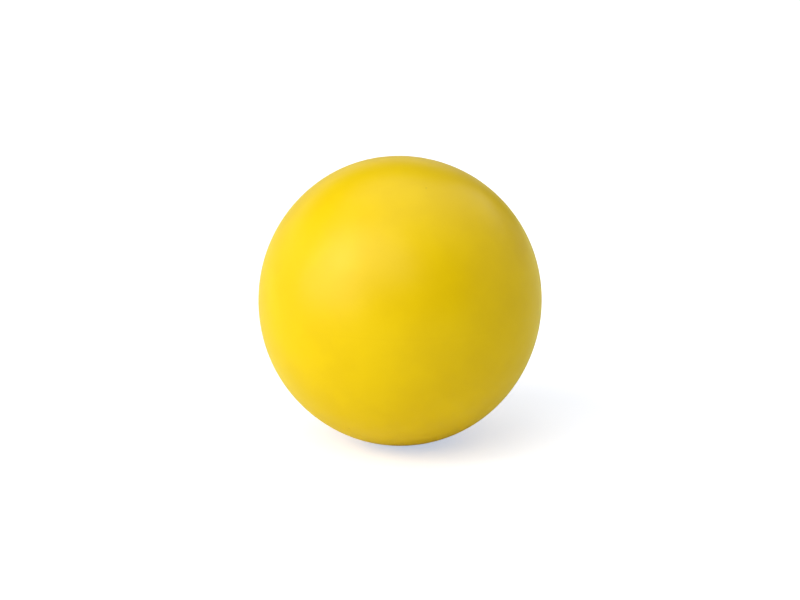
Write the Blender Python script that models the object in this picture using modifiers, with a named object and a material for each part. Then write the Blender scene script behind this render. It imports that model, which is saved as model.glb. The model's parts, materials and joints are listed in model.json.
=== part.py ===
"""Squeezable foam stress ball, built in the layers that its two-part mould gives it.

A thin coloured coat and a dense foam skin, each in an upper and a lower half, lie around one
foam core. The halves meet at a level parting plane at mid-height. Units are metres and +Z is
up. The origin is the middle of the small flat that the ball's own weight presses into it.
"""

import math

import bpy

# Driving dimensions
WIDTH = 0.0630  # across the equator
HEIGHT = 0.0644  # from the resting flat to the crown
REST_FLAT_RADIUS = 0.0032  # contact patch under the ball's own weight
COAT_WALL = 0.0003  # coloured coat, sprayed into both mould halves
SKIN_WALL = 0.0012  # dense skin that the foam forms against the mould
CLEARANCE = 0.0003  # between neighbouring pieces

# Facets
SEGMENTS = 48  # round the vertical axis
RINGS = 12  # from a pole to the parting plane
MERGE_DISTANCE = 0.00001  # closes the turned seams and the poles

# The full outline is an ellipse, and the resting flat cuts off its lowest sliver.
SEMI_WIDTH = WIDTH / 2
FLAT_ANGLE = math.asin(REST_FLAT_RADIUS / SEMI_WIDTH)
SEMI_HEIGHT = HEIGHT / (1 + math.cos(FLAT_ANGLE))
PARTING_HEIGHT = HEIGHT - SEMI_HEIGHT

# Depth of each layer's outer face under the ball's surface
SKIN_DEPTH = COAT_WALL + CLEARANCE
CORE_DEPTH = SKIN_DEPTH + SKIN_WALL + CLEARANCE

# (red, green, blue), roughness
COAT_FINISH = ((0.84, 0.66, 0.02), 0.38)
SKIN_FINISH = ((0.86, 0.74, 0.22), 0.60)
FOAM_FINISH = ((0.90, 0.82, 0.48), 0.95)


def clear_scene():
    for obj in list(bpy.data.objects):
        bpy.data.objects.remove(obj, do_unlink=True)


def make_material(name, finish):
    colour, roughness = finish
    material = bpy.data.materials.new(name)
    material.use_nodes = True
    shader = material.node_tree.nodes["Principled BSDF"]
    shader.inputs["Base Color"].default_value = (*colour, 1.0)
    shader.inputs["Roughness"].default_value = roughness
    shader.inputs["Metallic"].default_value = 0.0
    return material


def arc(depth, first, last, up):
    """Outline points of a layer, as (radius, height above the parting plane).

    The angle is counted from the pole, which is the crown if up is 1 and the foot if up is -1.
    """
    across = SEMI_WIDTH - depth
    tall = SEMI_HEIGHT - depth
    angles = [first + (last - first) * k / RINGS for k in range(RINGS + 1)]
    return [(across * math.sin(a), up * tall * math.cos(a)) for a in angles]


def rim_angle(depth):
    """Angle from the pole at which a half stops, half the clearance short of the parting plane."""
    return math.acos(CLEARANCE / 2 / (SEMI_HEIGHT - depth))


def flat_angle(depth):
    """Angle from the foot at which a layer's flat ends: the flat lies depth above the rest."""
    return math.acos((PARTING_HEIGHT - depth) / (SEMI_HEIGHT - depth))


def upper_dome(depth):
    """From the crown down to the rim."""
    return arc(depth, 0.0, rim_angle(depth), 1)


def lower_dome(depth):
    """From the rim down to the edge of the flat, then in to the axis."""
    side = arc(depth, rim_angle(depth), flat_angle(depth), -1)
    return side + [(0.0, side[-1][1])]


def upper_shell(depth, wall):
    return upper_dome(depth) + upper_dome(depth + wall)[::-1]


def lower_shell(depth, wall):
    return lower_dome(depth + wall)[::-1] + lower_dome(depth)


def solid_core(depth):
    crown = arc(depth, 0.0, math.pi / 2, 1)
    foot = arc(depth, math.pi / 2, flat_angle(depth), -1)
    return crown + foot[1:] + [(0.0, foot[-1][1])]


def make_turned(name, outline, material, parent, collection):
    """A body turned about its own Z axis from an outline of (radius, height) points."""
    mesh = bpy.data.meshes.new(name)
    points = [(radius, 0.0, height) for radius, height in outline]
    edges = [(k, k + 1) for k in range(len(points) - 1)]
    mesh.from_pydata(points, edges, [])
    mesh.materials.append(material)
    piece = bpy.data.objects.new(name, mesh)
    collection.objects.link(piece)
    piece.parent = parent
    turn = piece.modifiers.new("turn", "SCREW")
    turn.axis = "Z"
    turn.angle = math.tau
    turn.steps = SEGMENTS
    turn.render_steps = SEGMENTS
    turn.use_merge_vertices = True
    turn.merge_threshold = MERGE_DISTANCE
    turn.use_smooth_shade = True
    return piece


def make_group(name, collection):
    """An empty on the squeeze axis, at the parting plane, that carries one half's pieces."""
    group = bpy.data.objects.new(name, None)
    group.empty_display_size = SEMI_WIDTH / 2
    group.location = (0.0, 0.0, PARTING_HEIGHT)
    collection.objects.link(group)
    return group


def main():
    clear_scene()
    ball = bpy.data.collections.new("stress_ball")
    bpy.context.scene.collection.children.link(ball)

    coat = make_material("colour_coat", COAT_FINISH)
    skin = make_material("foam_skin", SKIN_FINISH)
    foam = make_material("foam", FOAM_FINISH)

    lower_half = make_group("lower_half", ball)
    upper_half = make_group("upper_half", ball)

    make_turned("upper_coat", upper_shell(0.0, COAT_WALL), coat, upper_half, ball)
    make_turned("lower_coat", lower_shell(0.0, COAT_WALL), coat, lower_half, ball)
    make_turned("upper_skin", upper_shell(SKIN_DEPTH, SKIN_WALL), skin, upper_half, ball)
    make_turned("lower_skin", lower_shell(SKIN_DEPTH, SKIN_WALL), skin, lower_half, ball)
    make_turned("foam_core", solid_core(CORE_DEPTH), foam, lower_half, ball)


main()
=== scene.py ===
"""Squeezable foam stress ball: a satin colour coat over a dense skin and a soft foam core.

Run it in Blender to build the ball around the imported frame, in a plain pale studio. Lengths are
in metres and +Z is up. Every piece is one closed surface on a grid of rings, which run from one
pole of the piece to the other.
"""

import json
import math

import bpy
import numpy as np
from bpy.props import FloatProperty, FloatVectorProperty, PointerProperty
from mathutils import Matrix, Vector


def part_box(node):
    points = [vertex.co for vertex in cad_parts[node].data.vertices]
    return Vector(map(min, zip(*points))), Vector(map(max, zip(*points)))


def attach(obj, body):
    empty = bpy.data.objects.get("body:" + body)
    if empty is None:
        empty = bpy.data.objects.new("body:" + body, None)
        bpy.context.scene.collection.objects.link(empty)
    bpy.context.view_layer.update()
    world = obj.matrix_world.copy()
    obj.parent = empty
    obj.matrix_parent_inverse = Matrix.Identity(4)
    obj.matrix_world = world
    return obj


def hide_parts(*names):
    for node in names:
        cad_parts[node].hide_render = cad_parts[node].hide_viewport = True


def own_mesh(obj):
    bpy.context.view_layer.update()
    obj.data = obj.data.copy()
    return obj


bl_info = {
    "name": "Foam Stress Ball",
    "version": (1, 0, 0),
    "blender": (4, 5, 0),
    "location": "3D View > Sidebar > Stress Ball",
    "description": "Builds a moulded foam ball in its coat, skin and core, with a pale studio",
    "category": "Object",
}

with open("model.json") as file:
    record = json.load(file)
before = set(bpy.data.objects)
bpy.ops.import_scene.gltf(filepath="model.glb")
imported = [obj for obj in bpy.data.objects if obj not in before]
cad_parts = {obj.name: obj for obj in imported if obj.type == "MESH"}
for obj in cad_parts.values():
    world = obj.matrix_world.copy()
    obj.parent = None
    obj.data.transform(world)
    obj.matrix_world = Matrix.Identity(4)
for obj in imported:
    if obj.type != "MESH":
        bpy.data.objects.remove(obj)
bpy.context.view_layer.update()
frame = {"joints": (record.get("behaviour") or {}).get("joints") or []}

MM = 0.001
DEGREE = math.pi / 180
SEED = 11


# ---------------------------------------------------------------------------------------------
# Measures taken from the frame


def top_of(node):
    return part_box(node)[1].z


def foot_of(node):
    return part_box(node)[0].z


# The ball's outline is an ellipse about this level plane, where the two mould halves met.
PARTING = (foot_of("upper_coat") + top_of("lower_coat")) / 2
CROWN = top_of("upper_coat")
SEMI_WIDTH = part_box("upper_coat")[1].x
SEMI_HEIGHT = CROWN - PARTING

# Depth of each layer's outer face under the ball's surface, the gap between neighbouring layers,
# which is also the gap at the parting plane, and the walls of the two outer layers
SKIN_DEPTH = CROWN - top_of("upper_skin")
CORE_DEPTH = CROWN - top_of("foam_core")
LAYER_GAP = foot_of("upper_coat") - top_of("lower_coat")
COAT_WALL = SKIN_DEPTH - LAYER_GAP
SKIN_WALL = CORE_DEPTH - SKIN_DEPTH - LAYER_GAP

SQUEEZE = next(joint for joint in frame["joints"] if joint["name"] == "squeeze")
TRAVEL = SQUEEZE["range_m"][1]
KEEP = 1 - TRAVEL / CROWN


# ---------------------------------------------------------------------------------------------
# Settings


class BallShape(bpy.types.PropertyGroup):
    """How the moulded ball departs from a true turned shape."""

    three_lobe: FloatProperty(
        name="Three-lobe error",
        description="How far the outline swells and pulls in three times round, seen from the front",
        default=0.06 * MM,
        unit="LENGTH",
    )
    four_lobe: FloatProperty(
        name="Four-lobe error",
        description="How far the outline swells and pulls in four times round, seen from the front",
        default=0.04 * MM,
        unit="LENGTH",
    )
    waviness: FloatProperty(
        name="Waviness",
        description="Height of the broad random swells that the foam leaves as it cures",
        default=0.03 * MM,
        unit="LENGTH",
    )
    foot_blend: FloatProperty(
        name="Foot blend",
        description="Height over which the pressed flat runs out into the round",
        default=0.08 * MM,
        unit="LENGTH",
    )
    clean_edge: FloatProperty(
        name="Clean parting edge",
        description="Edge radius of each half where the parting line was trimmed clean",
        default=0.008 * MM,
        unit="LENGTH",
    )
    witness_edge: FloatProperty(
        name="Witness edge",
        description="Edge radius of each half where the parting line still shows",
        default=0.07 * MM,
        unit="LENGTH",
    )
    flash: FloatProperty(
        name="Flash",
        description="Height of the trimmed ridge beside the parting line where it still shows",
        default=0.05 * MM,
        unit="LENGTH",
    )


class CoatFinish(bpy.types.PropertyGroup):
    """Satin colour coat."""

    colour: FloatVectorProperty(
        name="Colour",
        description="Main colour of the coat",
        subtype="COLOR",
        default=(0.9, 0.64, 0.0005),
        min=0.0,
        max=1.0,
    )
    thin_colour: FloatVectorProperty(
        name="Thin colour",
        description="Colour where the coat lies thinner over the foam",
        subtype="COLOR",
        default=(0.87, 0.61, 0.001),
        min=0.0,
        max=1.0,
    )
    roughness: FloatProperty(
        name="Roughness",
        description="Mean roughness of the satin surface seen square on",
        default=0.36,
        min=0.0,
        max=1.0,
    )
    grazing_roughness: FloatProperty(
        name="Grazing roughness",
        description="Roughness seen along the surface, where a satin coat shines most",
        default=0.31,
        min=0.0,
        max=1.0,
    )
    peel_size: FloatProperty(
        name="Peel size",
        description="Width of one swell of the orange peel",
        default=0.8 * MM,
        unit="LENGTH",
    )
    peel_height: FloatProperty(
        name="Peel height",
        description="Height of the orange peel",
        default=0.014 * MM,
        unit="LENGTH",
    )
    pinhole_size: FloatProperty(
        name="Pinhole size",
        description="Width of the few burst bubbles in the coat",
        default=0.4 * MM,
        unit="LENGTH",
    )


class FoamFinish(bpy.types.PropertyGroup):
    """Dense skin and soft core under the coat."""

    skin_colour: FloatVectorProperty(
        name="Skin colour",
        description="Colour of the dense skin, stained by the coat",
        subtype="COLOR",
        default=(0.80, 0.62, 0.10),
        min=0.0,
        max=1.0,
    )
    core_colour: FloatVectorProperty(
        name="Core colour",
        description="Colour of the raw foam",
        subtype="COLOR",
        default=(0.82, 0.70, 0.36),
        min=0.0,
        max=1.0,
    )
    cell_size: FloatProperty(
        name="Cell size",
        description="Mean width of one foam cell in the core",
        default=1.1 * MM,
        unit="LENGTH",
    )
    cell_depth: FloatProperty(
        name="Cell depth",
        description="Depth of an opened cell in the core's face",
        default=0.16 * MM,
        unit="LENGTH",
    )


class Studio(bpy.types.PropertyGroup):
    """Camera, floor and lights."""

    elevation: FloatProperty(
        name="Camera elevation",
        description="Angle of the camera above the level of the ball",
        default=15 * DEGREE,
        subtype="ANGLE",
    )
    distance: FloatProperty(
        name="Camera distance",
        description="From the camera to the middle of the ball",
        default=0.4942,
        unit="LENGTH",
    )
    aim_rise: FloatProperty(
        name="Aim rise",
        description="Height above the parting plane of the point that the camera looks at",
        default=0.15 * MM,
        unit="LENGTH",
    )
    lens: FloatProperty(
        name="Lens",
        description="Focal length, in millimetres",
        default=100.0,
    )
    floor_size: FloatProperty(
        name="Floor size",
        description="Side of the pale floor",
        default=12.0,
        unit="LENGTH",
    )
    exposure: FloatProperty(
        name="Exposure",
        description="Brightness of every light together",
        default=1.0,
        min=0.0,
    )


# ---------------------------------------------------------------------------------------------
# Surfaces as grids of rings


def turns(count):
    """Angles round the vertical axis, one for each column of a grid."""
    return np.arange(count) * (math.tau / count)


def graded(count, reach, crowding):
    """Distances from 0 to reach, crowded towards 0: the hyperbolic sine of even steps."""
    steps = np.linspace(0.0, 1.0, count)
    return reach * np.sinh(crowding * steps) / np.sinh(crowding)


def soft_floor(height, blend):
    """Height kept from going below 0: 0 under -blend, unchanged over blend, a parabola between."""
    bent = (height + blend) ** 2 / (4 * blend)
    return np.where(height > blend, height, np.where(height < -blend, 0.0, bent))


# Phases of the two lobe errors, in radians
THREE_LOBE_PHASE = -1.2
FOUR_LOBE_PHASE = -2.15

# The broad swells are a sum of waves. The least and the most that one wave turns in a ball radius,
# in radians, and the least and the most share of the waviness that it has
SWELL_WAVES = 12
SWELL_TURN = (3.0, 9.0)
SWELL_SHARE = (0.15, 0.5)


def out_of_round(x, y, z, shape):
    """Swell of the ball along each unit direction.

    Two harmonics of the front outline, cos(3a + p) and cos(4a + q) times the distance from the
    front axis to the third and fourth power, and a sum of seeded plane waves.
    """
    front = x + 1j * z
    swell = shape.three_lobe * np.real(front**3 * np.exp(1j * THREE_LOBE_PHASE))
    swell = swell + shape.four_lobe * np.real(front**4 * np.exp(1j * FOUR_LOBE_PHASE))
    draw = np.random.default_rng(SEED)
    for _ in range(SWELL_WAVES):
        wave = draw.normal(size=3)
        wave *= draw.uniform(*SWELL_TURN) / np.linalg.norm(wave)
        phase = draw.uniform(0.0, math.tau)
        height = shape.waviness * draw.uniform(*SWELL_SHARE)
        swell = swell + height * np.cos(wave[0] * x + wave[1] * y + wave[2] * z + phase)
    return swell


def ball_points(angle, turn, depth, shape):
    """Points of the ball, depth under its surface, on the rings at angle from the crown.

    An ellipse turned about +Z, swollen along its radius by out_of_round, with its foot pressed
    flat at the height depth, so every layer's flat is parallel to the one it rests on.
    """
    angle, turn, depth = np.broadcast_arrays(angle[:, None], turn[None, :], depth)
    x, y, z = np.sin(angle) * np.cos(turn), np.sin(angle) * np.sin(turn), np.cos(angle)
    swell = out_of_round(x, y, z, shape)
    across = SEMI_WIDTH - depth + swell
    tall = SEMI_HEIGHT - depth + swell * np.abs(z)
    height = soft_floor(PARTING + tall * z - depth, shape.foot_blend) + depth
    return np.stack([across * x, across * y, height], axis=-1)


def ring_faces(rings, columns):
    """Quads between neighbouring rings and a fan at each pole, for vertices in this order: the
    first pole, the rings, the last pole. Columns wrap round, so the surface is closed."""
    here = np.arange(columns)
    beside = (here + 1) % columns
    first = 1 + np.arange(rings - 1)[:, None] * columns
    quads = np.stack([first + here, first + columns + here, first + columns + beside,
                      first + beside], axis=-1).reshape(-1, 4)
    last_ring = 1 + (rings - 1) * columns
    last_pole = last_ring + columns
    near = np.stack([np.zeros(columns, int), 1 + here, 1 + beside], axis=-1)
    far = np.stack([last_ring + here, np.full(columns, last_pole), last_ring + beside], axis=-1)
    return quads, near, far


def make_piece(name, rings, poles, attributes):
    """A closed mesh from rings of points, shape (rings, columns, 3), and its two pole points.

    Attributes hold one number or one vector for each vertex and are given ring by ring, as the
    points are, with their values at the two poles.
    """
    count, columns, _ = rings.shape
    points = np.concatenate([[poles[0]], rings.reshape(-1, 3), [poles[1]]])
    quads, near, far = ring_faces(count, columns)
    corners = np.concatenate([quads.ravel(), near.ravel(), far.ravel()])
    sizes = np.concatenate([np.full(len(quads), 4), np.full(len(near) + len(far), 3)])
    mesh = bpy.data.meshes.new(name)
    mesh.vertices.add(len(points))
    mesh.vertices.foreach_set("co", points.ravel())
    mesh.loops.add(len(corners))
    mesh.loops.foreach_set("vertex_index", corners)
    mesh.polygons.add(len(sizes))
    mesh.polygons.foreach_set("loop_start", np.concatenate([[0], np.cumsum(sizes)[:-1]]))
    mesh.polygons.foreach_set("loop_total", sizes)
    mesh.update(calc_edges=True)
    mesh.polygons.foreach_set("use_smooth", np.ones(len(sizes), bool))
    for label, values in attributes.items():
        kind, key = ("FLOAT_VECTOR", "vector") if values.ndim == 2 else ("FLOAT", "value")
        layer = mesh.attributes.new(label, kind, "POINT")
        layer.data.foreach_set(key, values.astype(np.float32).ravel())
    if mesh.validate():
        raise RuntimeError(f"{name} has faulty faces")
    piece = bpy.data.objects.new(name, mesh)
    bpy.context.scene.collection.objects.link(piece)
    return piece


# ---------------------------------------------------------------------------------------------
# Pieces

QUARTER = math.pi / 2
MEAN_RADIUS = (SEMI_WIDTH + SEMI_HEIGHT) / 2
QUARTER_LENGTH = QUARTER * MEAN_RADIUS
RIM_GAP = 0.004 * MM  # between each half's rim and the parting plane
FAR_FROM_PARTING = 1.0  # marks a face that is not on the outside

# Rings run along a face from the parting plane to the pole, crowded towards the parting plane.
OUTER_CROWDING = 5.5
INNER_CROWDING = 2.0

# Grids: columns round the axis, then rings of the outer and of the inner face. A shell's counts
# include the pole of each face, and the core's leaves both of its poles out.
COAT_COLUMNS = 384
COAT_RINGS = (129, 25)
SKIN_COLUMNS = 320
SKIN_RINGS = (61, 91)
CORE_COLUMNS = 384
CORE_RINGS = 190

# The parting line shows from the first sine of the turn, and fully from the second.
WITNESS_SINES = (-0.15, 0.6)
NICKS_IN_A_TURN = (5, 9, 17, 31, 53, 86)
FLASH_FROM_PARTING = 0.2 * MM  # middle of the trimmed ridge
FLASH_WIDTH = 0.11 * MM

# The foam cells' relief grows from nothing over this distance, at the rims and above the foot.
RELIEF_RUN_IN = 0.5 * MM
SKIN_RELIEF = 0.08 * MM  # how far the skin's inner face stands into the core's opened cells


def witness(turn):
    """From 0 at the front, where the parting line was trimmed clean, to 1 at the back: a smooth
    step of the sine of the turn."""
    first, full = WITNESS_SINES
    step = np.clip((np.sin(turn) - first) / (full - first), 0.0, 1.0)
    return step * step * (3 - 2 * step)


def nicks(turn):
    """Where the trimmed ridge still stands, from 0 to 1: a sum of cosines that repeat in a turn."""
    draw = np.random.default_rng(SEED + 1)
    total = np.zeros_like(turn)
    for times in NICKS_IN_A_TURN:
        total += np.cos(times * turn + draw.uniform(0.0, math.tau))
    return np.clip(0.5 + total / 4, 0.0, 1.0)


def edge_depth(distance, turn, shape):
    """How far the outer face lies under the ball's outline, distance from the parting plane.

    A quarter circle of the edge's radius, less a Gaussian ridge of flash beside it. Both grow
    with witness, and the ridge comes and goes with nicks.
    """
    distance = distance[:, None]
    shown = witness(turn)[None, :]
    radius = shape.clean_edge + (shape.witness_edge - shape.clean_edge) * shown
    inward = np.clip(radius - distance, 0.0, None)
    rounding = radius - np.sqrt(radius**2 - inward**2)
    ridge = np.exp(-(((distance - FLASH_FROM_PARTING) / FLASH_WIDTH) ** 2))
    return rounding - shape.flash * shown * nicks(turn)[None, :] * ridge


def half_shell(name, upper, depth, wall, columns, rings, shape, edge, inner_relief=None):
    """One half of a layer: its outer face, a flat rim at the parting plane and its inner face.

    The rings of the upper half run from the crown down the outer face, across the rim and up
    the inner face. Those of the lower half run from the foot up the inner face, across the rim
    and down the outer face.
    """
    outer_rings, inner_rings = rings
    side = -1 if upper else 1
    turn = turns(columns)
    reach = QUARTER_LENGTH - RIM_GAP
    distance = RIM_GAP + graded(outer_rings, reach, OUTER_CROWDING)[:-1]
    outer_angle = QUARTER + side * distance / MEAN_RADIUS
    outer_depth = depth + (edge_depth(distance, turn, shape) if edge else 0.0)
    outer_depth = np.broadcast_to(outer_depth, (len(distance), columns))
    inner_distance = RIM_GAP + graded(inner_rings, reach, INNER_CROWDING)[:-1]
    inner_angle = QUARTER + side * inner_distance / MEAN_RADIUS
    inner_depth = np.full((len(inner_distance), columns), depth + wall)

    outer = ball_points(outer_angle, turn, outer_depth, shape)
    inner = ball_points(inner_angle, turn, inner_depth, shape)
    if inner_relief is not None:
        inner = inner_relief(inner, inner_distance)
    pole_angle = np.array([0.0 if upper else math.pi])
    outer_pole = ball_points(pole_angle, turn[:1], np.array([[depth]]), shape)[0, 0]
    inner_pole = ball_points(pole_angle, turn[:1], np.array([[depth + wall]]), shape)[0, 0]

    outer_from = np.repeat(distance[:, None], columns, axis=1)
    inner_from = np.full(inner.shape[:2], FAR_FROM_PARTING)
    if upper:
        points = np.concatenate([outer[::-1], inner])
        away = np.concatenate([outer_from[::-1], inner_from])
        poles = (outer_pole, inner_pole)
    else:
        points = np.concatenate([inner[::-1], outer])
        away = np.concatenate([inner_from[::-1], outer_from])
        poles = (inner_pole, outer_pole)
    shown = np.broadcast_to(witness(turn), away.shape)
    attributes = {
        "rest_place": np.concatenate([[poles[0]], points.reshape(-1, 3), [poles[1]]]),
        "from_parting": np.concatenate([[QUARTER_LENGTH], away.ravel(), [QUARTER_LENGTH]]),
        "witness": np.concatenate([[0.0], shown.ravel(), [0.0]]),
    }
    return make_piece(name, points, poles, attributes)


# Any large uneven numbers scatter the cell centres.
CUBE_PHASES = np.array([127.1, 311.7, 74.7])
CHANNEL_PHASE = 269.5
SCATTER = 43758.5453
BEYOND_NEIGHBOURS = 9.0  # in cubes


def lattice_draw(cube, channel):
    """A number from 0 to 1 for each whole-number cube: the fraction left of a large sine."""
    phase = cube @ CUBE_PHASES + CHANNEL_PHASE * (channel + 1)
    return np.modf(np.abs(np.sin(phase)) * SCATTER)[0]


def foam_cells(points, size):
    """How far each point is inside a foam cell, from 0 on a cell wall to 1 at the middle.

    One cell centre lies at random in each cube of a lattice. The value is the distance to the
    second nearest centre, less that to the nearest, in cubes.
    """
    place = points / size
    base = np.floor(place)
    near = np.full(place.shape[:-1], BEYOND_NEIGHBOURS)
    second = near.copy()
    for step in np.ndindex(3, 3, 3):
        cube = base + np.array(step) - 1
        centre = cube + np.stack([lattice_draw(cube, axis) for axis in range(3)], axis=-1)
        away = np.linalg.norm(place - centre, axis=-1)
        second = np.minimum(second, np.maximum(near, away))
        near = np.minimum(near, away)
    return np.clip(second - near, 0.0, 1.0)


def pitted(rings, size, depth, strength):
    """Rings pulled in towards the ball's middle by depth times foam_cells, times strength."""
    middle = np.array([0.0, 0.0, PARTING])
    out = rings - middle
    out /= np.linalg.norm(out, axis=-1, keepdims=True)
    cells = foam_cells(rings, size)
    return rings - out * (depth * strength * cells)[..., None]


def foam_core(name, shape, finish):
    """The soft core: the ball's outline at its depth, pitted by the cells that its face opens."""
    turn = turns(CORE_COLUMNS)
    angle = np.linspace(0.0, math.pi, CORE_RINGS + 2)[1:-1]
    depth = np.full((CORE_RINGS, CORE_COLUMNS), CORE_DEPTH)
    rings = ball_points(angle, turn, depth, shape)
    off_the_foot = np.clip((rings[..., 2] - CORE_DEPTH) / RELIEF_RUN_IN, 0.0, 1.0)
    rings = pitted(rings, finish.cell_size, finish.cell_depth, off_the_foot)
    poles = [
        ball_points(np.array([at]), turn[:1], np.array([[CORE_DEPTH]]), shape)[0, 0]
        for at in (0.0, math.pi)
    ]
    rest = np.concatenate([[poles[0]], rings.reshape(-1, 3), [poles[1]]])
    return make_piece(name, rings, poles, {"rest_place": rest})


def fit_to_frame(piece, node, body):
    """The piece stands for a CAD node, rides on its body and has a mesh of its own."""
    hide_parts(node)
    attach(piece, body)
    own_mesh(piece)


# ---------------------------------------------------------------------------------------------
# Finishes


class Flow:
    """One output socket of a shader. Sums on it add Math nodes."""

    def __init__(self, tree, socket=None):
        self.tree = tree
        self.socket = socket

    def node(self, kind, settings, inputs, out=0):
        """Adds a node: its settings first, then each input's value or link. Inputs and the
        output that is returned go by name or number."""
        made = self.tree.nodes.new("ShaderNode" + kind)
        for key, value in settings.items():
            setattr(made, key, value)
        for key, value in inputs.items():
            if isinstance(value, Flow):
                self.tree.links.new(value.socket, made.inputs[key])
            else:
                made.inputs[key].default_value = value
        return Flow(self.tree, made.outputs[out])

    def math(self, operation, *values):
        return self.node("Math", {"operation": operation}, dict(enumerate(values)))

    def mix(self, factor, first, second):
        """A colour between first and second."""
        settings = {"data_type": "RGBA", "clamp_factor": True}
        return self.node("Mix", settings, {0: factor, 6: first, 7: second}, out=2)

    def noise(self, place, size, detail):
        """Noise with swells of that size, about 0.5."""
        values = {"Vector": place, "Scale": 1 / size, "Detail": detail, "Roughness": 0.5}
        return self.node("TexNoise", {}, values, out="Fac")

    def fade(self, value, full, none):
        """From 1 where value is full to 0 where it is none, along a smooth step."""
        limits = {"Value": value, "From Min": full, "From Max": none, "To Min": 1.0, "To Max": 0.0}
        return self.node("MapRange", {"interpolation_type": "SMOOTHSTEP"}, limits)

    def __add__(self, other):
        return self.math("ADD", self, other)

    def __radd__(self, other):
        return self.math("ADD", other, self)

    def __sub__(self, other):
        return self.math("SUBTRACT", self, other)

    def __rsub__(self, other):
        return self.math("SUBTRACT", other, self)

    def __mul__(self, other):
        return self.math("MULTIPLY", self, other)


def rgba(colour):
    return (*colour, 1.0)


def new_finish(name):
    """A material that holds one Principled shader, and a Flow to build what feeds it."""
    material = bpy.data.materials.new(name)
    material.use_nodes = True
    tree = material.node_tree
    shader = tree.nodes["Principled BSDF"]
    return material, shader, Flow(tree)


def rest_place(flow):
    settings = {"attribute_type": "GEOMETRY", "attribute_name": "rest_place"}
    return flow.node("Attribute", settings, {}, out="Vector")


def attribute(flow, name):
    settings = {"attribute_type": "GEOMETRY", "attribute_name": name}
    return flow.node("Attribute", settings, {}, out="Fac")


def feed(shader, name, value):
    if isinstance(value, Flow):
        value.tree.links.new(value.socket, shader.inputs[name])
    else:
        shader.inputs[name].default_value = value


def bump(flow, height):
    """A normal from a height in metres."""
    return flow.node("Bump", {}, {"Strength": 1.0, "Distance": 1.0, "Height": height})


# Burst bubbles in the coat, by their turn from the front towards +X and their height angle
PINHOLES = ((22.7, 62.9), (-31.5, -48.4), (148.0, 21.0), (-112.0, 8.0), (75.0, -17.0))

# The coat's other fine detail. The parting line is darkest within the first distance from the
# parting plane and has faded out at the second.
MOTTLE_SIZE = 11 * MM
GRAIN_SIZE = 0.22 * MM
GRAIN_HEIGHT = 0.0015 * MM
PINHOLE_DEPTH = 0.08 * MM
PINHOLE_EDGE = (0.3, 0.6)  # from its middle, in pinhole sizes: where it is deepest, and its rim
PARTING_LINE = (0.04 * MM, 0.22 * MM)
THIN_COAT = (0.66, 0.34)  # mottle at which the coat has its thin colour, and its main colour
# In the pinholes this deeper colour is painted shade in the pits.
DEEPER = 0.62  # brightness of the coat's colour in the parting line and the pinholes
LINE_DARKENING = 0.35
PINHOLE_PAINTED_SHADE = 0.6

# How the coat takes light. Layer Weight's facing runs from 0 square on to 1 along the surface: the
# roughness is the square-on one up to the first value of it, and the grazing one from the second.
# The last three are how far the mottle, the orange peel and the parting line roughen the coat.
COAT_IOR = 1.45
COAT_DIFFUSE_ROUGHNESS = 0.2
COAT_GLOSS_TINT = (1.0, 0.96, 0.6)
TURNED_AWAY = (0.35, 0.62)
MOTTLE_ROUGHENS = 0.08
PEEL_ROUGHENS = 0.05
LINE_ROUGHENS = 0.12


def pinhole_place(turn, height):
    """The point of the ball's outline at that turn and height angle."""
    turn, height = math.radians(turn), math.radians(height)
    x, y, z = math.cos(height) * math.sin(turn), -math.cos(height) * math.cos(turn), math.sin(height)
    reach = 1 / math.sqrt((x * x + y * y) / SEMI_WIDTH**2 + z * z / SEMI_HEIGHT**2)
    return (x * reach, y * reach, PARTING + z * reach)


def coat_finish(finish):
    """Satin sprayed coat: broad mottle, orange peel, fine grain, a few pinholes and the faint
    line where the two mould halves met. It is a little glossier where it turns away."""
    material, shader, flow = new_finish("satin_colour_coat")
    place = rest_place(flow)
    mottle = flow.noise(place, MOTTLE_SIZE, 3.0)
    peel = flow.noise(place, finish.peel_size, 2.0)
    grain = flow.noise(place, GRAIN_SIZE, 1.0)

    deepest, rim = (share * finish.pinhole_size for share in PINHOLE_EDGE)
    holes = 0.0
    for turn, height in PINHOLES:
        settings = {"operation": "DISTANCE"}
        inputs = {0: place, 1: pinhole_place(turn, height)}
        away = flow.node("VectorMath", settings, inputs, out="Value")
        holes = flow.fade(away, deepest, rim) + holes
    away = attribute(flow, "from_parting")
    line = flow.fade(away, *PARTING_LINE) * attribute(flow, "witness")

    thin = flow.fade(mottle, *THIN_COAT)
    colour = flow.mix(thin, rgba(finish.colour), rgba(finish.thin_colour))
    deep = rgba([DEEPER * value for value in finish.colour])
    colour = flow.mix(line * LINE_DARKENING, colour, deep)
    # Painted shade: the pinholes darken towards the deep colour, in the pits that the bump sinks.
    colour = flow.mix(holes * PINHOLE_PAINTED_SHADE, colour, deep)
    feed(shader, "Base Color", colour)
    facing = flow.node("LayerWeight", {}, {"Blend": 0.5}, out="Facing")
    square_on = flow.fade(facing, *TURNED_AWAY)
    rough = square_on * (finish.roughness - finish.grazing_roughness) + finish.grazing_roughness
    rough = rough + (mottle - 0.5) * MOTTLE_ROUGHENS + (peel - 0.5) * PEEL_ROUGHENS
    feed(shader, "Roughness", rough + line * LINE_ROUGHENS)
    height = peel * finish.peel_height + grain * GRAIN_HEIGHT - holes * PINHOLE_DEPTH
    feed(shader, "Normal", bump(flow, height))
    feed(shader, "Diffuse Roughness", COAT_DIFFUSE_ROUGHNESS)
    feed(shader, "IOR", COAT_IOR)
    feed(shader, "Specular Tint", rgba(COAT_GLOSS_TINT))
    return material


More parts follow.
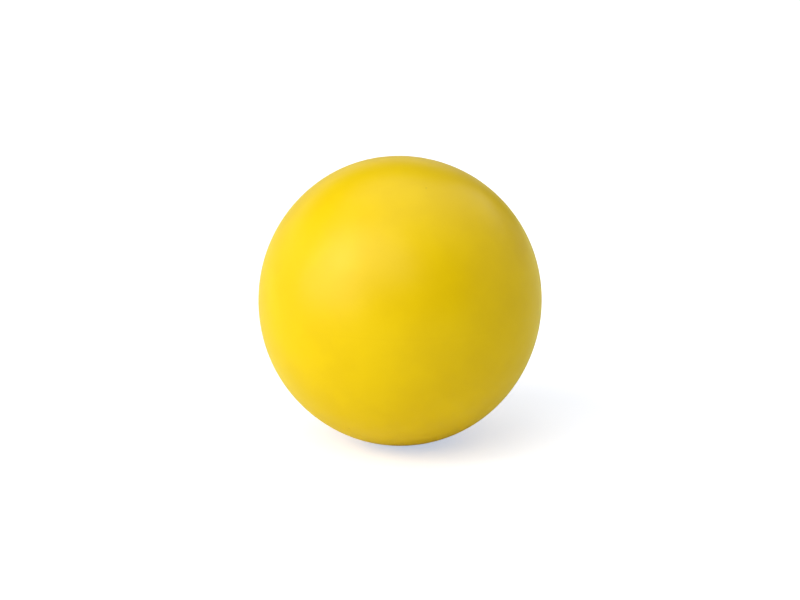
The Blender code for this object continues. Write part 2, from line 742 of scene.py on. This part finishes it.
# Fine detail of the two foams
SKIN_MOTTLE_SIZE = 6 * MM
SKIN_PORE_SIZE = 0.35 * MM
SKIN_PORE_DEPTH = 0.02 * MM
SKIN_STAIN = 0.6  # share of the skin's own colour in its palest patches
CORE_MOTTLE_SIZE = 5 * MM
FINE_CELL_SIZE = 0.45 * MM
FINE_CELL_DEPTH = 0.05 * MM
# Painted shade: the core's colour is darker inside each fine cell than on its walls.
CELL_PAINTED_SHADE = 0.72  # brightness of the core's colour inside a fine cell


def skin_finish(finish):
    """Dense foam skin: matt, finely pored, stained by the coat that was sprayed before it."""
    material, shader, flow = new_finish("dense_foam_skin")
    place = rest_place(flow)
    mottle = flow.noise(place, SKIN_MOTTLE_SIZE, 3.0)
    pores = flow.noise(place, SKIN_PORE_SIZE, 2.0)
    pairs = zip(finish.skin_colour, finish.core_colour)
    pale = rgba([SKIN_STAIN * skin + (1 - SKIN_STAIN) * core for skin, core in pairs])
    colour = flow.mix(flow.fade(mottle, 0.35, 0.65), rgba(finish.skin_colour), pale)
    feed(shader, "Base Color", colour)
    feed(shader, "Roughness", 0.62 + (pores - 0.5) * 0.2)
    feed(shader, "Normal", bump(flow, pores * SKIN_PORE_DEPTH))
    return material


def core_finish(finish):
    """Raw foam: pale, matt, with a web of fine cell walls over the large opened cells."""
    material, shader, flow = new_finish("soft_foam")
    place = rest_place(flow)
    settings = {"feature": "DISTANCE_TO_EDGE"}
    inputs = {"Vector": place, "Scale": 1 / FINE_CELL_SIZE}
    walls = flow.node("TexVoronoi", settings, inputs, out="Distance")
    mottle = flow.noise(place, CORE_MOTTLE_SIZE, 3.0)
    painted_cell_shade = rgba([CELL_PAINTED_SHADE * value for value in finish.core_colour])
    # Painted shade inside the fine cells and paler walls, with random mottle on top.
    paleness = flow.fade(walls, 0.02, 0.22) * 0.6 + mottle * 0.4
    colour = flow.mix(paleness, painted_cell_shade, rgba(finish.core_colour))
    feed(shader, "Base Color", colour)
    feed(shader, "Roughness", 0.9 + (mottle - 0.5) * 0.1)
    feed(shader, "Normal", bump(flow, flow.fade(walls, 0.0, 0.3) * FINE_CELL_DEPTH))
    return material


# ---------------------------------------------------------------------------------------------
# Studio

# Soft boxes of light round the ball. Each has its middle's azimuth, from straight behind the ball
# towards +X, and elevation, then its half width, half height and soft edge, all in degrees, and
# its radiance.
SOFT_BOXES = {
    "key": (-120, 32, 28, 28, 10, 2.68),
    "key_foot": (-124, 4, 26, 8, 8, 0.45),
    "front_card": (-170, 42, 20, 14, 8, 2.15),
    "overhead_front": (-155, 64, 32, 12, 10, 1.45),
    "overhead": (0, 90, 180, 16, 8, 1.2),
    "overhead_back": (-10, 64, 65, 10, 8, 1.25),
    "overhead_right": (100, 64, 45, 12, 8, 0.75),
    "right_card": (88, 34, 28, 22, 6, 0.42),
    "right_back_card": (44, 38, 16, 18, 5, 1.0),
    "right_card_foot": (77, 6, 48, 8, 5, 0.36),
    "left_card": (-78, 34, 16, 24, 8, 0.2),
    "back_card": (-30, 5, 48, 12, 4, 0.36),
    "back_card_top": (-30, 20, 44, 5, 4, 0.45),
}

# The lamp within the key, a little above its middle: azimuth, elevation, distance, side, radiance
KEY_LAMP = (-120, 36, 2.5, 0.6, 4.6)

# The paper's colour and glow to the camera keep its shadows close to neutral: the glow is cool and
# the colour is warm. Its colour to everything else is warmer still, and it has no glow there.
PAPER_COLOUR = (0.80, 0.74, 0.64)
PAPER_GLOW = (0.47, 0.535, 0.65)
PAPER_TO_BALL = (0.88, 0.87, 0.42)


def direction(azimuth, elevation):
    """Unit direction at an azimuth from +Y towards +X and an elevation, both in degrees."""
    azimuth, elevation = azimuth * DEGREE, elevation * DEGREE
    across = math.cos(elevation)
    return np.array([math.sin(azimuth) * across, math.cos(azimuth) * across, math.sin(elevation)])


def aim(thing, place, target):
    """Puts a camera or a lamp at place, with its -Z axis towards target."""
    thing.location = place
    thing.rotation_euler = Vector(target - place).to_track_quat("-Z", "Y").to_euler()


def soft_box(flow, x, y, z, azimuth, elevation, half_width, half_height, edge):
    """1 in a rectangle of azimuth and elevation, fading to 0 over its edge, with round corners.

    The direction x, y, z is first turned so that the rectangle's middle has azimuth 0.
    """
    sine, cosine = math.sin(azimuth * DEGREE), math.cos(azimuth * DEGREE)
    across = flow.math("ARCTAN2", x * cosine - y * sine, x * sine + y * cosine)
    above = flow.math("ARCSINE", z) - elevation * DEGREE
    flat = [(half_width - edge / 2) * DEGREE, (half_height - edge / 2) * DEGREE]
    off = [
        flow.math("MAXIMUM", flow.math("ABSOLUTE", angle) - half, 0.0)
        for angle, half in zip((across, above), flat)
    ]
    return flow.fade(flow.math("SQRT", off[0] * off[0] + off[1] * off[1]), 0.0, edge * DEGREE)


def studio_world(exposure):
    """Light of the room: the sum of the soft boxes. The camera itself sees plain white."""
    world = bpy.data.worlds.new("soft_room")
    bpy.context.scene.world = world
    world.use_nodes = True
    tree = world.node_tree
    flow = Flow(tree)
    way = flow.node("TexCoord", {}, {}, out="Generated")
    x, y, z = (flow.node("SeparateXYZ", {}, {0: way}, out=axis) for axis in "XYZ")
    level = 0.0
    for *place, radiance in SOFT_BOXES.values():
        level = soft_box(flow, x, y, z, *place) * (radiance * exposure) + level
    seen = flow.node("LightPath", {}, {}, out="Is Camera Ray")
    level = level + seen * (1.0 - level)
    tree.links.new(level.socket, tree.nodes["Background"].inputs["Color"])


def add_key_lamp(exposure):
    """A square lamp that faces the ball. Its power is its radiance times pi times its area."""
    azimuth, elevation, distance, side, radiance = KEY_LAMP
    lamp = bpy.data.lights.new("key_lamp", "AREA")
    lamp.size = side
    lamp.energy = radiance * exposure * math.pi * side**2
    light = bpy.data.objects.new("key_lamp", lamp)
    bpy.context.scene.collection.objects.link(light)
    middle = np.array([0.0, 0.0, PARTING])
    aim(light, middle + distance * direction(azimuth, elevation), middle)
    light.visible_camera = False


def floor_finish():
    """Plain pale paper that glows to the camera, so that only shadows show on it."""
    material, shader, flow = new_finish("pale_paper")
    seen = flow.node("LightPath", {}, {}, out="Is Camera Ray")
    feed(shader, "Base Color", flow.mix(seen, rgba(PAPER_TO_BALL), rgba(PAPER_COLOUR)))
    feed(shader, "Roughness", 1.0)
    feed(shader, "Specular IOR Level", 0.0)
    feed(shader, "Emission Color", flow.mix(seen, (0.0, 0.0, 0.0, 1.0), rgba(PAPER_GLOW)))
    feed(shader, "Emission Strength", 1.0)
    return material


def add_floor(size):
    half = size / 2
    corners = [(-half, -half, 0), (half, -half, 0), (half, half, 0), (-half, half, 0)]
    mesh = bpy.data.meshes.new("floor")
    mesh.from_pydata(corners, [], [(0, 1, 2, 3)])
    floor = bpy.data.objects.new("floor", mesh)
    bpy.context.scene.collection.objects.link(floor)
    mesh.materials.append(floor_finish())


def add_camera(studio):
    lens = bpy.data.cameras.new("camera")
    lens.lens = studio.lens
    camera = bpy.data.objects.new("camera", lens)
    bpy.context.scene.collection.objects.link(camera)
    target = np.array([0.0, 0.0, PARTING + studio.aim_rise])
    up = math.degrees(studio.elevation)
    aim(camera, target + studio.distance * direction(180.0, up), target)
    bpy.context.scene.camera = camera


# ---------------------------------------------------------------------------------------------
# Operators


class STRESSBALL_OT_coat(bpy.types.Operator):
    """Build both halves of the satin colour coat"""

    bl_idname = "stressball.coat"
    bl_label = "Colour Coat"

    def execute(self, context):
        shape = context.scene.ball_shape
        finish = coat_finish(context.scene.coat_finish)
        for upper, word in ((True, "upper"), (False, "lower")):
            name = f"satin_coat_{word}"
            piece = half_shell(name, upper, 0.0, COAT_WALL, COAT_COLUMNS, COAT_RINGS, shape,
                               edge=True)
            piece.data.materials.append(finish)
            fit_to_frame(piece, f"{word}_coat", f"{word}_half")
        return {"FINISHED"}


class STRESSBALL_OT_skin(bpy.types.Operator):
    """Build both halves of the dense foam skin"""

    bl_idname = "stressball.skin"
    bl_label = "Dense Skin"

    def execute(self, context):
        shape = context.scene.ball_shape
        foam = context.scene.foam_finish
        finish = skin_finish(foam)

        def relief(rings, distance):
            strength = np.clip(distance / RELIEF_RUN_IN, 0.0, 1.0)[:, None]
            return pitted(rings, foam.cell_size, -SKIN_RELIEF, strength)

        for upper, word in ((True, "upper"), (False, "lower")):
            name = f"dense_skin_{word}"
            piece = half_shell(name, upper, SKIN_DEPTH, SKIN_WALL, SKIN_COLUMNS, SKIN_RINGS,
                               shape, edge=False, inner_relief=relief)
            piece.data.materials.append(finish)
            fit_to_frame(piece, f"{word}_skin", f"{word}_half")
        return {"FINISHED"}


class STRESSBALL_OT_core(bpy.types.Operator):
    """Build the soft foam core"""

    bl_idname = "stressball.core"
    bl_label = "Foam Core"

    def execute(self, context):
        shape = context.scene.ball_shape
        foam = context.scene.foam_finish
        piece = foam_core("cellular_core", shape, foam)
        piece.data.materials.append(core_finish(foam))
        fit_to_frame(piece, "foam_core", "lower_half")
        return {"FINISHED"}


class STRESSBALL_OT_studio(bpy.types.Operator):
    """Set up the pale floor, the soft lights and the camera"""

    bl_idname = "stressball.studio"
    bl_label = "Studio"

    def execute(self, context):
        studio = context.scene.ball_studio
        add_floor(studio.floor_size)
        studio_world(studio.exposure)
        add_key_lamp(studio.exposure)
        add_camera(studio)
        context.scene.view_settings.view_transform = "Standard"
        return {"FINISHED"}


class STRESSBALL_PT_panel(bpy.types.Panel):
    """The stress ball's settings and building steps"""

    bl_idname = "STRESSBALL_PT_panel"
    bl_label = "Stress Ball"
    bl_space_type = "VIEW_3D"
    bl_region_type = "UI"
    bl_category = "Stress Ball"

    def draw(self, context):
        for holder in SETTINGS:
            box = self.layout.box()
            group = getattr(context.scene, holder)
            for name in group.__annotations__:
                box.prop(group, name)
        for operator in OPERATORS:
            self.layout.operator(operator.bl_idname)


SETTINGS = {
    "ball_shape": BallShape,
    "coat_finish": CoatFinish,
    "foam_finish": FoamFinish,
    "ball_studio": Studio,
}
OPERATORS = (
    STRESSBALL_OT_coat,
    STRESSBALL_OT_skin,
    STRESSBALL_OT_core,
    STRESSBALL_OT_studio,
)


def register():
    for group in SETTINGS.values():
        bpy.utils.register_class(group)
    for holder, group in SETTINGS.items():
        setattr(bpy.types.Scene, holder, PointerProperty(type=group))
    for operator in OPERATORS:
        bpy.utils.register_class(operator)
    bpy.utils.register_class(STRESSBALL_PT_panel)


def unregister():
    bpy.utils.unregister_class(STRESSBALL_PT_panel)
    for operator in reversed(OPERATORS):
        bpy.utils.unregister_class(operator)
    for holder in SETTINGS:
        delattr(bpy.types.Scene, holder)
    for group in reversed(SETTINGS.values()):
        bpy.utils.unregister_class(group)


def main():
    register()
    bpy.ops.stressball.coat()
    bpy.ops.stressball.skin()
    bpy.ops.stressball.core()
    bpy.ops.stressball.studio()


if __name__ == "__main__":
    main()
